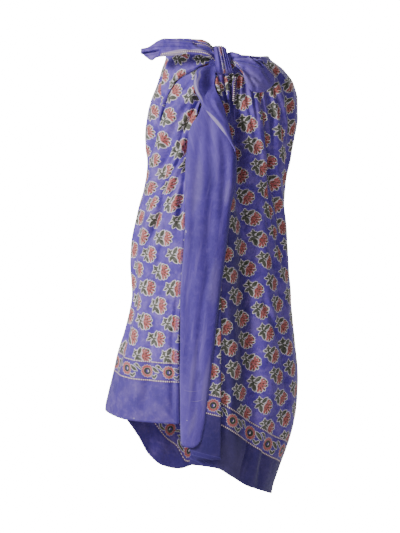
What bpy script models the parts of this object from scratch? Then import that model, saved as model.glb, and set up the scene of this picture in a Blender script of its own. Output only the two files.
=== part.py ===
# Sarong: one block-printed cotton cloth, wrapped round and knotted at the front of the waist.
# The origin is the middle of the waist, where the wearer holds it. +Z is up and -Y is the front.
# Sizes in the tables are millimetres and degrees. Heights are drops below the origin.
# An angle goes round from the front (0) over the viewer's left (90) and the back (180).

import bisect
import math

import bpy
from mathutils import Vector

MM = 0.001
CLOTH_WALL = 2.0  # thickness of the cloth in the model
SEAM_GAP = 0.7  # clear space between stretches of the same cloth
ROWS_DOWN = 18  # rows of faces from the waist to the hem
DEGREES_PER_COLUMN = 4.0
VIOLET = (0.075, 0.065, 0.34, 1.0)
LAVENDER = (0.16, 0.14, 0.46, 1.0)
DEEP_VIOLET = (0.06, 0.05, 0.28, 1.0)
CORAL = (0.55, 0.16, 0.13, 1.0)


def table(columns, *rows):
    names = columns.split()
    return [dict(zip(names, row)) for row in rows]


def slope(rows, key, column, index):
    """Slope of a column at one row, flat where the column turns."""
    if index in (0, len(rows) - 1):
        return 0.0
    before, here, after = rows[index - 1 : index + 2]
    rise_in = (here[column] - before[column]) / (here[key] - before[key])
    rise_out = (after[column] - here[column]) / (after[key] - here[key])
    if rise_in * rise_out <= 0:
        return 0.0
    return 2 * rise_in * rise_out / (rise_in + rise_out)


def read(rows, key, column, at):
    """A column of a table at any place between its rows, on a smooth curve through them."""
    places = [row[key] for row in rows]
    at = min(max(at, places[0]), places[-1])
    index = min(max(bisect.bisect_right(places, at) - 1, 0), len(rows) - 2)
    low, high = rows[index], rows[index + 1]
    span = high[key] - low[key]
    t = (at - low[key]) / span
    start, end = slope(rows, key, column, index), slope(rows, key, column, index + 1)
    return (
        low[column] * (1 + 2 * t) * (1 - t) ** 2
        + high[column] * t * t * (3 - 2 * t)
        + span * t * (1 - t) * (start * (1 - t) - end * t)
    )


def mix(low, high, share):
    return low + (high - low) * share


def smooth_step(low, high, at):
    t = min(max((at - low) / (high - low), 0.0), 1.0)
    return t * t * (3 - 2 * t)


# The wrap's sections: half widths to each side, and depths to the front and back
sections = table(
    "drop left right front back",
    (-15, 131, 127, 94, 95),
    (20, 141, 163, 100, 102),
    (55, 152, 188, 107, 114),
    (95, 167, 199, 114, 128),
    (135, 177, 199, 120, 138),
    (185, 182, 191, 125, 143),
    (245, 178, 181, 129, 143),
    (300, 182, 170, 132, 141),
    (375, 201, 166, 136, 142),
    (440, 215, 170, 139, 145),
    (500, 220, 175, 142, 149),
    (585, 216, 182, 148, 155),
    (660, 231, 188, 152, 160),
    (735, 253, 196, 156, 165),
    (800, 268, 200, 160, 170),
    (870, 282, 194, 166, 173),
    (940, 280, 179, 168, 172),
    (1000, 279, 158, 168, 168),
    (1080, 280, 134, 166, 160),
)

# The lower edge: how far it hangs below the waist, all the way round
hem = table(
    "angle drop",
    (10, 889),
    (50, 884),
    (90, 867),
    (112, 873),
    (125, 896),
    (138, 946),
    (148, 997),
    (159, 1027),
    (172, 1037),
    (185, 1024),
    (225, 1040),
    (270, 1076),
    (315, 1047),
    (335, 1015),
    (346, 995),
    (366, 986),
)

# The upper edge, which is drawn up a little into the knot
waist_edge = table(
    "angle drop",
    (0, -12),
    (40, -12),
    (90, -14),
    (180, -4),
    (270, -13),
    (315, -7),
    (366, -7),
)

# Main folds as long troughs (negative) and ridges, each from one place on the wrap to another
folds = table(
    "name from_angle from_drop to_angle to_drop width depth bend",
    ("left crease high", 52, 50, 66, 215, 24, -9, 2),
    ("left crease from knot", 17, 70, 63, 360, 26, -12, 4),
    ("left crease with tuck", 24, 180, 57, 500, 22, -11, -3),
    ("left crease by hanging end", 29, 230, 23, 430, 16, -7, 0),
    ("left side fall", 67, 330, 73, 800, 30, -8, 2),
    ("left lower fall", 45, 520, 36, 880, 46, -6, 0),
    ("right shadow trough", -8, 112, -31, 440, 34, -14, 2),
    ("right lower trough", -29, 380, -36, 1040, 44, -11, 4),
    ("right pleat", -30, 40, -74, 540, 20, -11, 0),
    ("right side pleat", -52, 20, -80, 330, 20, -9, 0),
    ("right hip fall", -58, 420, -50, 1060, 40, -7, -4),
    ("side fall", 112, 40, 115, 520, 30, -9, 2),
    ("back fall 1", 128, 0, 124, 640, 34, -11, -4),
    ("back fall 2", 149, 10, 156, 1020, 38, -12, 4),
    ("back fall 3", 168, 0, 171, 560, 24, -8, 0),
    ("back fall 4", 198, 20, 199, 1020, 38, -13, 3),
    ("back fall 5", 218, 0, 222, 480, 24, -9, 2),
    ("back fall 6", 236, 30, 240, 1050, 40, -11, 4),
    ("back fall 7", 251, 10, 253, 620, 25, -8, 0),
)


def section_at(drop):
    """Middle, half width and the two depths of the wrap at one height."""
    left, right, front, back = (
        read(sections, "drop", column, drop) for column in ("left", "right", "front", "back")
    )
    return (right - left) / 2, (right + left) / 2, front, back


def relief(angle, drop, radius):
    """How far the folds push the wall out at one place."""
    total = 0.0
    run_out = 0.12  # share of a fold's length that it fades over past each end
    for fold in folds:
        share = (drop - fold["from_drop"]) / (fold["to_drop"] - fold["from_drop"])
        if not -run_out < share < 1 + run_out:
            continue
        middle = mix(fold["from_angle"], fold["to_angle"], share)
        middle += fold["bend"] * math.sin(math.pi * share)
        away = (angle - middle + 180) % 360 - 180
        across = math.radians(away) * radius / fold["width"]
        if abs(across) < 1:
            fade = smooth_step(-run_out, 0.16, share) * (1 - smooth_step(0.72, 1 + run_out, share))
            total += fold["depth"] * fade * (0.5 + 0.5 * math.cos(math.pi * across))
    return total


def wrap_point(angle, drop, proud=0.0, folded=True):
    """A place on the wrap's outer face, or proud of it by some millimetres."""
    middle, half, front, back = section_at(drop)
    turn = math.radians(angle)
    depth = front if math.cos(turn) > 0 else back
    x, y = middle - half * math.sin(turn), -depth * math.cos(turn)
    outward = Vector((-math.sin(turn) / half, -math.cos(turn) / depth, 0)).normalized()
    if folded:
        proud += relief(angle, drop, math.hypot(half * math.cos(turn), depth * math.sin(turn)))
    return Vector((x, y, -drop)) + outward * proud


def front_point(x, drop, proud, folded=False):
    """A place in front of the wrap, found from its distance to the right of the middle."""
    middle, half, _, _ = section_at(drop)
    widest = 0.97  # share of the half width, short of the wrap's side
    angle = -math.degrees(math.asin(min(max((x - middle) / half, -widest), widest)))
    return wrap_point(angle, drop, proud, folded)


def fabric(name, colour):
    material = bpy.data.materials.new(name)
    material.use_nodes = True
    shader = material.node_tree.nodes["Principled BSDF"]
    shader.inputs["Base Color"].default_value = colour
    shader.inputs["Roughness"].default_value = 0.75
    shader.inputs["Metallic"].default_value = 0.0
    return material


def sheet(name, point_at, columns, rows, material, thickness=CLOTH_WALL):
    """An open sheet of cloth with its wall behind it. point_at takes shares across and down."""
    places = [
        point_at(column / columns, row / rows) * MM
        for row in range(rows + 1)
        for column in range(columns + 1)
    ]
    wide = columns + 1
    corners = [row * wide + column for row in range(rows) for column in range(columns)]
    faces = [(corner, corner + 1, corner + wide + 1, corner + wide) for corner in corners]
    mesh = bpy.data.meshes.new(name)
    mesh.from_pydata(places, [], faces)
    mesh.materials.append(material)
    mesh.shade_smooth()
    piece = bpy.data.objects.new(name, mesh)
    sarong.objects.link(piece)
    wall = piece.modifiers.new("wall", "SOLIDIFY")
    wall.thickness = thickness * MM
    wall.offset = -1
    return piece


# The two upright edges of the cloth, which part below the knot behind the hanging end
left_free_edge = table(
    "drop angle",
    (-12, 8),
    (100, 19),
    (300, 20),
    (440, 18),
    (520, 19.5),
    (600, 23.5),
    (700, 20),
    (800, 16),
    (889, 13),
)
right_free_edge = table(
    "drop angle",
    (-12, 367),
    (100, 373),
    (300, 375),
    (500, 371.5),
    (700, 370),
    (900, 365),
    (986, 363.4),
)

# The wrap, in four stretches that meet edge to edge
stretches = table(
    "name from_angle to_angle",
    ("wrap_front_left", 13, 92),
    ("wrap_back_left", 92, 182),
    ("wrap_back_right", 182, 268),
    ("wrap_front_right", 268, 363.4),
)


def wrap_stretch(stretch, material):
    usual_radius = 170
    seam = math.degrees(SEAM_GAP / 2 / usual_radius)
    first, last = stretch is stretches[0], stretch is stretches[-1]

    def point_at(across, down):
        angle = mix(stretch["from_angle"], stretch["to_angle"], across)
        top, bottom = (read(edge, "angle", "drop", angle) for edge in (waist_edge, hem))
        drop = mix(top, bottom, down)
        start = read(left_free_edge, "drop", "angle", drop) if first else stretch["from_angle"] + seam
        end = read(right_free_edge, "drop", "angle", drop) if last else stretch["to_angle"] - seam
        return wrap_point(mix(start, end, across), drop)

    columns = round((stretch["to_angle"] - stretch["from_angle"]) / DEGREES_PER_COLUMN)
    sheet(stretch["name"], point_at, columns, ROWS_DOWN, material)


# Strips that hang from the knot in front of the wrap: left and right edges at each height,
# how proud each edge is of the wrap, and how far the middle swells between them
front_pleat = table(
    "drop left right proud swell",
    (118, -14, 8, 8, 0),
    (250, -60, 12, 8, 0),
    (420, -72, 8, 8, 1),
    (600, -76, 6, 8, 1),
    (800, -76, 5, 8, 2),
    (974, -78, 4, 9, 2),
)
tail_drop = table(
    "drop left right proud swell",
    (84, -30, -4, 12, 0),
    (118, -38, 8, 12, 1),
    (146, -48, 17, 12, 2),
    (165, -61, 23, 13, 3),
    (190, -69, 29, 13, 4),
    (220, -73, 37, 13, 5),
    (257, -77, 43, 13, 5),
    (298, -78, 42, 13, 5),
    (375, -79, 28, 13, 5),
    (450, -82, 20, 13, 4),
    (550, -89, 7, 13, 4),
    (640, -91, -3, 13, 4),
    (780, -93, -20, 13, 4),
    (868, -92, -29, 13, 3),
    (944, -90, -41, 13, 2),
)
tail_twist = table(
    "drop left right proud swell",
    (18, -22, -2, 15, 3),
    (29, -46, -4, 17, 8),
    (38, -54, -8.6, 19, 11),
    (48, -58, -6.3, 20, 12),
    (64, -60, -9, 20, 13),
    (84, -56, -5, 20, 12),
    (104, -47, 5, 19, 10),
    (126, -35, 13, 19, 8),
    (150, -18, 19, 18, 6),
    (172, -1, 24, 17.5, 4),
    (194, 15, 28, 17, 3),
    (214, 27, 33, 16.8, 2),
    (234, 36, 40, 16.6, 1),
)


def strip_point(strip, across, drop):
    """A place on a hanging strip, which runs from its right edge (0) to its left edge (1)."""
    right, left, proud, swell = (
        read(strip, "drop", column, drop) for column in ("right", "left", "proud", "swell")
    )
    return front_point(mix(right, left, across), drop, proud + swell * math.sin(math.pi * across))


def tail_drop_point(across, down):
    """The long end, whose lower corners are rounded, the left one less."""
    rise = 34.0 if across < 0.5 else 15.0
    roundness = 0.96
    bottom = tail_drop[-1]["drop"] - rise * (1 - math.sqrt(1 - roundness * (2 * across - 1) ** 2))
    return strip_point(tail_drop, across, mix(tail_drop[0]["drop"], bottom, down))


def tail_twist_point(across, down):
    return strip_point(tail_twist, across, mix(tail_twist[0]["drop"], tail_twist[-1]["drop"], down))


def front_pleat_point(across, down):
    """The pleat turns back under itself along its right edge, and rounds off at its lower left."""
    under, turn = 0.22, 0.34  # shares of the sheet where the part beneath ends, and the turn
    lip, depth = 22.0, 2.6  # width of the part beneath, and half the depth of the turn
    corner = 36.0  # height of the rounded lower left corner
    bottom = front_pleat[-1]["drop"] - corner * smooth_step(0.72, 1.0, across) ** 2
    drop = mix(front_pleat[0]["drop"], bottom, down)
    right, left, proud, swell = (
        read(front_pleat, "drop", column, drop) for column in ("right", "left", "proud", "swell")
    )
    lip = min(lip, (right - left) * 0.5)
    if across < under:
        return front_point(mix(right - lip, right - depth, across / under), drop, proud - 2 * depth)
    if across < turn:
        around = math.pi * (across - under) / (turn - under)
        x = right - depth + depth * math.sin(around)
        return front_point(x, drop, proud - depth - depth * math.cos(around))
    share = (across - turn) / (1 - turn)
    proud += swell * math.sin(math.pi * share)
    return front_point(mix(right - depth, left, share), drop, proud)


# The tuck that overhangs the front left stretch: its upper and lower edges at each place across,
# its lift off the wrap at the upper one, and how proud of the wrap the lower one is
tuck_edge = table(
    "x top bottom lift proud",
    (-150, 138, 152, 3.2, 3.4),
    (-141, 84, 128, 3.4, 4.0),
    (-131, 30, 104, 3.8, 5.5),
    (-116, -4, 76, 3.8, 7.5),
    (-103, -9, 58, 3.2, 9.0),
    (-86, -10, 45, 2.9, 9.5),
    (-52, -10, 30, 2.9, 10),
    (-20, -9, 16, 2.9, 10),
)


def tuck_point(across, down):
    x = mix(tuck_edge[-1]["x"], tuck_edge[0]["x"], across)
    top, bottom, lift, proud = (
        read(tuck_edge, "x", column, x) for column in ("top", "bottom", "lift", "proud")
    )
    proud = mix(lift, proud, math.sin(math.pi / 2 * down) ** 2)
    return front_point(x, mix(top, bottom, down), proud)


# Narrow folds below the knot: middle line, half width, how proud they are, and lift off the wrap
gathers = {
    "gather_1": table(
        "drop x half proud lift",
        (47, -4, 3, 5, 1.2),
        (66, -3, 5, 9, 1.2),
        (84, 2, 6, 9, 1.2),
        (108, 8, 3, 5, 1.2),
    ),
    "gather_2": table(
        "drop x half proud lift",
        (47, 16, 3, 4, 1.5),
        (70, 21, 5, 8, 1.5),
        (90, 24, 5, 7, 1.5),
        (106, 25, 3, 4, 1.5),
    ),
    "gather_3": table(
        "drop x half proud lift",
        (50, 41, 3, 5, 1.7),
        (68, 38, 6, 9, 1.7),
        (88, 37, 6, 8, 1.7),
        (110, 36, 3, 4, 1.7),
    ),
}


def gather_point(rows):
    def point_at(across, down):
        drop = mix(rows[0]["drop"], rows[-1]["drop"], down)
        x, half, proud, lift = (
            read(rows, "drop", column, drop) for column in ("x", "half", "proud", "lift")
        )
        around = math.pi * across
        proud = lift + proud * math.sin(around)
        return front_point(x + half * math.cos(around), drop, proud, folded=True)

    return point_at


# Tied ends: a sheet folded over along its top, from the knot out to the tip.
# Each row gives the fold's height, the front leaf's lower edge, and the middle's place and depth.
tie_left = table(
    "x top bottom y depth",
    (-190, 22, 9, -84, 3.4),
    (-176, 24, -1, -88, 5),
    (-163, 31, -9, -92, 7),
    (-149, 40, -2, -97, 9),
    (-130, 45, -1, -104, 12),
    (-105, 44, 0, -111, 14),
    (-76, 42, 3, -117, 14),
    (-45, 40, 0, -121, 14),
    (-29, 36, -4, -122, 13),
    (-19, 29, -9, -121.5, 11),
    (-14, 19, -14, -120.5, 8.4),
    (-7, 9, -21, -119.5, 7.4),
    (3, 8, -22, -119.5, 7.4),
)
tie_right = table(
    "x top bottom y depth",
    (11, 7, -21, -119, 7),
    (22, 7, -19, -118.5, 6.6),
    (31, 9, -20, -119, 7.4),
    (45, 6, -29, -122, 11),
    (58, 1, -46, -123, 12),
    (70, 0, -76, -120, 13.5),
    (82, 0, -88, -116.5, 13.8),
    (94, -2, -90, -111.5, 14),
    (108, -12, -88, -106, 12),
    (122, -28, -80, -100.5, 9.5),
    (134, -40, -66, -93.5, 6),
    (138, -50, -58, -90, 3.4),
)


def tie_point(rows, outward):
    """A place on a folded end, up its front leaf, over the fold and down its shorter back leaf.
    Each row of the table gets an equal share, so the surface is finer where rows are close."""
    stations = [dict(share=index / (len(rows) - 1), x=row["x"]) for index, row in enumerate(rows)]
    fullness = 0.55  # how soon a leaf rises towards the fold: lower is fuller
    back_short = 0.35  # how much shorter the back leaf is

    def point_at(around, out):
        x = read(stations, "share", "x", out if outward > 0 else 1 - out)
        top, bottom, y, depth = (
            read(rows, "x", column, x) for column in ("top", "bottom", "y", "depth")
        )
        turn = math.pi * around
        edge = bottom if around < 0.5 else mix(bottom, top, back_short)
        return Vector((x, y - depth * math.cos(turn), mix(edge, top, math.sin(turn) ** fullness)))

    return point_at


# The band round the knot, pleated up and down. Barrel is how much rounder its middle is.
knot = {
    "x": 8,
    "z": -8,
    "back": -110,
    "lean": 6,
    "half_width": 19.5,
    "half_height": 34,
    "reach": 25,
    "barrel": 1.6,
    "from_turn": 96,
    "to_turn": -99,
}
knot_pleats = {"count": 5, "depth": 1.7}
knot_pinch = {"middle": 0.13, "top": 0.16}  # shares by which the band is narrower there


def knot_point(across, down):
    """The band from its upper back, over the front, to its lower back, with its right side first."""
    side = 1 - 2 * across
    around = math.radians(mix(knot["from_turn"], knot["to_turn"], down))
    pinch = 1 - knot_pinch["middle"] * math.cos(around) ** 2 - knot_pinch["top"] * math.sin(around)
    ripple = knot_pleats["depth"] * math.cos(knot_pleats["count"] * math.pi * side)
    radius_out = ripple - knot["barrel"] * side * side
    y = knot["back"] - (knot["reach"] + radius_out) * math.cos(around)
    z = knot["z"] + (knot["half_height"] + radius_out) * math.sin(around)
    x = knot["x"] - knot["lean"] * math.sin(around) + knot["half_width"] * pinch * side
    return Vector((x, y, z))


def clear_scene():
    for piece in list(bpy.data.objects):
        bpy.data.objects.remove(piece)


clear_scene()
sarong = bpy.data.collections.new("sarong")
bpy.context.scene.collection.children.link(sarong)

printed = fabric("printed cotton", VIOLET)
washed = fabric("washed plain cotton", LAVENDER)
plain = fabric("plain border cotton", DEEP_VIOLET)
rolled = fabric("printed folds", CORAL)

for stretch in stretches:
    wrap_stretch(stretch, printed)
sheet("front_pleat", front_pleat_point, 12, 12, printed)
sheet("waist_tuck", tuck_point, 12, 7, washed)
sheet("tail_drop", tail_drop_point, 8, 20, washed)
sheet("tail_twist", tail_twist_point, 6, 12, plain)
sheet("knot_band", knot_point, 16, 10, plain)
sheet("tie_left", tie_point(tie_left, -1), 12, 18, washed)
sheet("tie_right", tie_point(tie_right, 1), 12, 18, plain)
for name, rows in gathers.items():
    sheet(name, gather_point(rows), 6, 6, rolled, thickness=1.2)
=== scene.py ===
# Sarong: one block-printed cotton cloth, wrapped round and knotted at the front of the waist
# Sizes in the dictionaries are millimetres and degrees; heights are drops below the waist
import math

import bpy
import numpy as np
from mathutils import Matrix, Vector, noise


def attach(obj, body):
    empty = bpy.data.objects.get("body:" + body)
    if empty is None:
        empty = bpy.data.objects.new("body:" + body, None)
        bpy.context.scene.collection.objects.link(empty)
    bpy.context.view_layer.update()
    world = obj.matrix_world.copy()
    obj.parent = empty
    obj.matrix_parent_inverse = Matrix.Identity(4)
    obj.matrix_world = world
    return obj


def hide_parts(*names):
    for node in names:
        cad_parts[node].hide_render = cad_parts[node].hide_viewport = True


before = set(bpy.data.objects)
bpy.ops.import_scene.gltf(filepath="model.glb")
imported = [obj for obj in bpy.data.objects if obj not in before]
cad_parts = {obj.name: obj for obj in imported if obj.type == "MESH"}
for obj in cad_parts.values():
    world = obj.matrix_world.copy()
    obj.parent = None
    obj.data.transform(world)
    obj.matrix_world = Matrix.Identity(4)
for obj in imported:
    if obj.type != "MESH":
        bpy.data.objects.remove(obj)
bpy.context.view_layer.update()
mm = 0.001
print("frame loaded")

# Camera, floor and soft studio light

studio = {
    "cameraPlace": (-0.045, -4.0, -0.511),
    "lens": 108.07,
    "floorDrop": 1.19,
    "floorReach": 60.0,
    "floorColour": (0.86, 0.86, 0.87, 1),
    "floorGlow": 16.5,
    "airLight": 0.27,
    "airSeen": 16.5,  # how bright the empty studio looks behind the piece
    "aim": (0, 0, -0.5),
    "lamps": [  # name, place, size, watts, colour
        ("key", (-3.0, -2.0, 1.1), 1.0, 190, (1.0, 0.985, 0.96)),
        ("back", (1.6, 2.6, 1.2), 1.8, 40, (1.0, 1.0, 1.0)),
    ],
}


def seenStrength(tree, unseen, seen, socket):  # one strength for the camera's own rays, one for all others
    ray = tree.nodes.new("ShaderNodeLightPath")
    strength = tree.nodes.new("ShaderNodeMapRange")
    strength.inputs["To Min"].default_value = unseen
    strength.inputs["To Max"].default_value = seen
    tree.links.new(ray.outputs["Is Camera Ray"], strength.inputs["Value"])
    tree.links.new(strength.outputs[0], socket)


def setStudio(studio):
    camera = bpy.data.objects.new("camera", bpy.data.cameras.new("camera"))
    camera.location = studio["cameraPlace"]
    camera.rotation_euler = (math.radians(90), 0, 0)
    camera.data.lens = studio["lens"]
    bpy.context.collection.objects.link(camera)
    bpy.context.scene.camera = camera

    floorMesh = bpy.data.meshes.new("floor")
    reach, low = studio["floorReach"], -studio["floorDrop"]
    corners = [(x * reach, y * reach, low) for x, y in ((-1, -1), (1, -1), (1, 1), (-1, 1))]
    floorMesh.from_pydata(corners, [], [(0, 1, 2, 3)])
    floor = bpy.data.objects.new("floor", floorMesh)
    bpy.context.collection.objects.link(floor)
    paint = bpy.data.materials.new("pale floor")
    paint.use_nodes = True
    paper = paint.node_tree.nodes["Principled BSDF"]
    paper.inputs["Base Color"].default_value = studio["floorColour"]
    paper.inputs["Roughness"].default_value = 0.9
    paper.inputs["Emission Color"].default_value = (1, 1, 1, 1)
    seenStrength(paint.node_tree, 0.0, studio["floorGlow"], paper.inputs["Emission Strength"])
    floorMesh.materials.append(paint)

    air = bpy.data.worlds.new("studio air")
    air.use_nodes = True
    backdrop = air.node_tree.nodes["Background"]
    backdrop.inputs["Color"].default_value = (1, 1, 1, 1)
    seenStrength(air.node_tree, studio["airLight"], studio["airSeen"], backdrop.inputs["Strength"])
    bpy.context.scene.world = air
    for name, place, size, watts, colour in studio["lamps"]:
        lamp = bpy.data.objects.new(name, bpy.data.lights.new(name, "AREA"))
        lamp.data.size, lamp.data.energy, lamp.data.color = size, watts, colour
        lamp.location = place
        aim = Vector(studio["aim"]) - lamp.location
        lamp.rotation_euler = aim.to_track_quat("-Z", "Y").to_euler()
        bpy.context.collection.objects.link(lamp)


setStudio(studio)
print("camera, floor and light made")

# Node helpers


def groupTree(name, inputs, outputs):
    tree = bpy.data.node_groups.new(name, "ShaderNodeTree")
    for label, kind, value in inputs:
        socket = tree.interface.new_socket(label, in_out="INPUT", socket_type="NodeSocket" + kind)
        if value is not None:
            socket.default_value = value
    for label, kind in outputs:
        tree.interface.new_socket(label, in_out="OUTPUT", socket_type="NodeSocket" + kind)
    return tree, tree.nodes.new("NodeGroupInput").outputs, tree.nodes.new("NodeGroupOutput").inputs


def feed(tree, sockets, values):
    for socket, value in zip(sockets, values):
        if isinstance(value, bpy.types.NodeSocket):
            tree.links.new(value, socket)
        else:
            socket.default_value = value


def number(tree, operation, *values):
    node = tree.nodes.new("ShaderNodeMath")
    node.operation = operation
    feed(tree, node.inputs, values)
    return node.outputs[0]


def plus(tree, *values):
    return number(tree, "ADD", *values)


def minus(tree, *values):
    return number(tree, "SUBTRACT", *values)


def times(tree, *values):
    return number(tree, "MULTIPLY", *values)


def vector(tree, operation, *values):
    node = tree.nodes.new("ShaderNodeVectorMath")
    node.operation = operation
    if operation == "SCALE":
        feed(tree, [node.inputs[0], node.inputs["Scale"]], values)
    else:
        feed(tree, node.inputs, values)
    return node.outputs["Value" if operation in ("LENGTH", "DOT_PRODUCT") else "Vector"]


def soft(tree, value, low, high):  # 0 below low, 1 above high, eased between
    node = tree.nodes.new("ShaderNodeMapRange")
    node.interpolation_type = "SMOOTHSTEP"
    feed(tree, node.inputs, [value, low, high, 0.0, 1.0])
    return node.outputs[0]


def mixed(tree, share, low, high):
    node = tree.nodes.new("ShaderNodeMix")
    node.data_type = "RGBA"
    feed(tree, [node.inputs[0], node.inputs[6], node.inputs[7]], [share, low, high])
    return node.outputs[2]


def cloudy(tree, place, scale, detail=2.0, roughness=0.5):
    node = tree.nodes.new("ShaderNodeTexNoise")
    feed(tree, [node.inputs["Vector"], node.inputs["Scale"]], [place, scale])
    node.inputs["Detail"].default_value = detail
    node.inputs["Roughness"].default_value = roughness
    return node.outputs[0]


def uneven(tree, place, scale, detail, size):  # wavers round zero, so no printed edge is clean
    return number(tree, "MULTIPLY_ADD", cloudy(tree, place, scale, detail), size, -size / 2)


def fromMiddle(tree, value):  # how far through its repeat, from -0.5 to 0.5
    return minus(tree, number(tree, "FRACT", value), 0.5)


def split(tree, place):
    node = tree.nodes.new("ShaderNodeSeparateXYZ")
    feed(tree, node.inputs, [place])
    return node.outputs[:2]


def joined(tree, x, y):
    node = tree.nodes.new("ShaderNodeCombineXYZ")
    feed(tree, node.inputs, [x, y, 0.0])
    return node.outputs[0]


def placed(tree, group, **values):
    node = tree.nodes.new("ShaderNodeGroup")
    node.node_tree = group
    for label, value in values.items():
        feed(tree, [node.inputs[label]], [value])
    return node.outputs


# Block print. A leaf is where two circles overlap, so its distance is a circle's

leafShape, given, out = groupTree(
    "leafShape",
    [
        ("Place", "Vector", None),
        ("Middle", "Vector", None),
        ("Turn", "Float", 0.0),
        ("Inset", "Vector", None),
        ("Reach", "Float", 10.0),
    ],
    [("Distance", "Float")],
)
moved = vector(leafShape, "SUBTRACT", given["Place"], given["Middle"])
turned = leafShape.nodes.new("ShaderNodeVectorRotate")
turned.rotation_type = "Z_AXIS"
turned.invert = True
feed(leafShape, [turned.inputs["Vector"], turned.inputs["Angle"]], [moved, given["Turn"]])
folded = vector(leafShape, "ADD", vector(leafShape, "ABSOLUTE", turned.outputs[0]), given["Inset"])
feed(leafShape, out, [minus(leafShape, vector(leafShape, "LENGTH", folded), given["Reach"])])


def printedShape(tree, place, x, y, long, wide, turn):
    reach = (long * long + wide * wide) / (2 * wide)
    form = {"Middle": (x, y, 0), "Turn": math.radians(turn), "Inset": (0, reach - wide, 0), "Reach": reach}
    leaf = placed(tree, leafShape, Place=place, **form)
    return leaf["Distance"]


def nearest(tree, distances):
    least = distances[0]
    for distance in distances[1:]:
        least = number(tree, "MINIMUM", least, distance)
    return least


flower = {  # each shape: middle x, y, half length, half width, turn; x runs from the leaves to the head
    "repeat": 82.0,
    "outline": 1.6,
    "handShift": 7.0,  # how far the hand-set block wanders
    "handNoise": 0.012,
    "ragged": (0.5, 1.0, 3.2),  # how close and fine the print's uneven edge is, and its size
    "spiky": (0.95, 0.0, 2.6),  # the same for the pale outline
    "edge": (0.45, -0.35),  # how softly the ink ends, out and in
    "green": [
        (-2.8, -11.0, 10.4, 5.0, -50),
        (-4.4, 11.0, 9.8, 4.7, 66),
        (-12.6, -7.6, 8.6, 4.0, 66),
        (-8.0, 0.2, 9.4, 2.4, -4),
        (-17.4, 6.6, 8.4, 3.0, -58),
        (-16.8, 7.6, 7.6, 2.8, 32),
        (-21.6, -1.4, 5.6, 2.5, 20),
        (12.4, 6.2, 3.1, 1.2, 38),
        (14.0, -0.4, 3.4, 1.2, 4),
        (11.6, -6.8, 3.1, 1.2, -40),
        (5.8, 4.4, 3.0, 1.2, 62),
        (5.6, -4.6, 3.0, 1.1, -58),
        (22.6, 4.2, 3.2, 2.1, 56),
        (21.8, -6.4, 3.2, 2.2, -52),
        (17.4, 13.4, 3.0, 2.0, -30),
        (16.2, -14.8, 3.0, 2.0, 35),
        (8.6, 16.6, 2.8, 1.7, 10),
    ],
    "coral": [
        (8.8, 0.0, 12.2, 7.4, 90),
        (5.4, 13.2, 5.2, 3.0, 86),
        (11.8, 12.2, 5.6, 3.1, 58),
        (16.8, 8.6, 5.4, 2.9, 32),
        (18.8, 2.0, 5.2, 2.8, 8),
        (18.0, -4.6, 5.2, 2.9, -16),
        (15.0, -10.2, 5.4, 3.0, -42),
        (9.2, -13.8, 5.4, 3.1, -70),
    ],
}

flowerPrint, given, out = groupTree(
    "flowerPrint", [("Place", "Vector", None)], [("Green", "Float"), ("Coral", "Float"), ("Cream", "Float")]
)


def buildFlowers(tree, given, out):
    size, place = flower["repeat"], given["Place"]
    wander = tree.nodes.new("ShaderNodeTexNoise")
    sockets = [wander.inputs[label] for label in ("Vector", "Scale", "Detail")]
    feed(tree, sockets, [place, flower["handNoise"], 0.0])
    shift = vector(tree, "SUBTRACT", wander.outputs["Color"], (0.5, 0.5, 0.5))
    shift = vector(tree, "SCALE", shift, flower["handShift"])
    cell = vector(tree, "SCALE", vector(tree, "ADD", place, shift), 1 / size)
    near = vector(tree, "FRACTION", vector(tree, "ADD", cell, (0.5, 0.5, 0)))
    near = vector(tree, "SUBTRACT", near, (0.5, 0.5, 0))
    between = vector(tree, "SUBTRACT", vector(tree, "FRACTION", cell), (0.5, 0.5, 0))
    spots = [vector(tree, "ABSOLUTE", spot) for spot in (near, between)]
    away = [vector(tree, "DOT_PRODUCT", spot, (1, 1, 0)) for spot in spots]
    pick = number(tree, "LESS_THAN", away[1], away[0])
    local = vector(tree, "ADD", near, vector(tree, "SCALE", vector(tree, "SUBTRACT", between, near), pick))
    local = vector(tree, "MULTIPLY", local, (size, size, 0))
    green, coral = [
        nearest(tree, [printedShape(tree, local, *row) for row in flower[ink]]) for ink in ("green", "coral")
    ]
    ragged = uneven(tree, place, *flower["ragged"])
    spiky = uneven(tree, place, *flower["spiky"])
    edge = plus(tree, plus(tree, number(tree, "MINIMUM", green, coral), ragged), spiky)
    masks = [soft(tree, plus(tree, shape, ragged), *flower["edge"]) for shape in (green, coral)]
    masks.append(soft(tree, edge, flower["outline"] + 0.4, flower["outline"] - 0.4))
    feed(tree, out, masks)


buildFlowers(flowerPrint, given, out)

band = {  # heights above the hem; the shapes' x is along the band, from a rosette's middle
    "lowerLine": 100.0,
    "upperLine": 144.0,
    "middle": 121.5,
    "pitch": 60.0,
    "rosette": 14.2,
    "scallops": 14,
    "scallopDepth": 2.6,
    "petalsFrom": 8.4,
    "ring": (5.9, 2.3),  # radius and half width of the dark ring
    "eye": (3.4, 0.9),  # pale crescent: its radius, and how far right it starts
    "reach": 20.0,
    "green": [
        (23.2, 4.4, 12.2, 4.3, -28),
        (34.4, 11.4, 3.8, 3.2, 0),
        (30.0, 14.0, 4.6, 1.8, 14),
        (17.6, -12.8, 7.4, 3.0, -26),
        (24.6, -10.4, 5.4, 2.8, 52),
        (40.6, 6.6, 5.8, 2.0, -38),
    ],
    "dotPitch": 4.7,
    "dots": (-0.55, 0.15),  # the wave's height where a dot starts and where it is full
    "thread": (1.55, 1.15),  # half width of the dotted line, outside and where it is full
    "redEdge": (2.4, 1.9),
    "redStrength": 0.75,
    "ragged": (0.42, 1.0, 2.0),
    "raggedLine": 0.35,
    "rimIn": 1.7,  # how far in from the scallops the petals end
    "outlines": (1.1, 0.8),  # pale outline round the leaves and round the petals
}

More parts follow.
